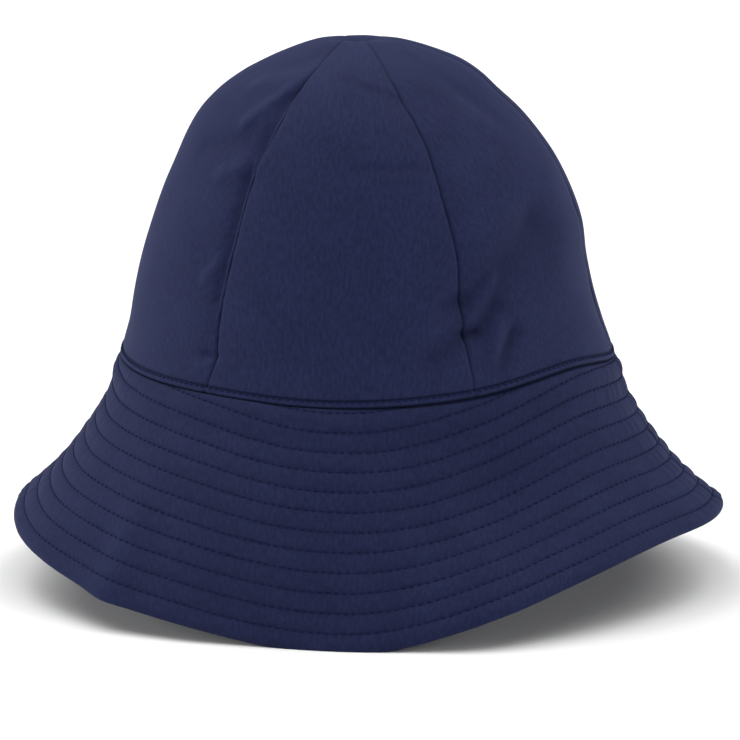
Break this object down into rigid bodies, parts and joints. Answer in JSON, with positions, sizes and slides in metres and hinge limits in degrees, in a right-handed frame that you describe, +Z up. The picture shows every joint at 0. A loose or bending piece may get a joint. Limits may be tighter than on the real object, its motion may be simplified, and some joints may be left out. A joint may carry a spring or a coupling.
{
  "type": "sun hat",
  "caption": "Bell-shaped fabric sun hat with a tall panelled crown, a folded hem and a quilted brim that dips low at the front.",
  "frame": {"origin": "middle of the hat's footprint, on the surface that it stands on", "axes": "+Z up, -Y the way the front of the hat faces, +X to the hat's side on the right as seen from the front"},
  "size_m": [0.2495, 0.2291, 0.1876],
  "materials": {
    "crown_cloth": "smooth navy microfibre with a faint upright weave and a slight sheen",
    "brim_cloth": "navy microfibre quilted in rows parallel to the edge with dark navy thread"
  },
  "bodies": {
    "root": {"crown_front": "crown_cloth", "crown_front_right": "crown_cloth", "crown_back_right": "crown_cloth", "crown_back": "crown_cloth", "crown_back_left": "crown_cloth", "crown_front_left": "crown_cloth", "brim_front": "brim_cloth", "brim_back": "brim_cloth"}
  },
  "joints": []
}
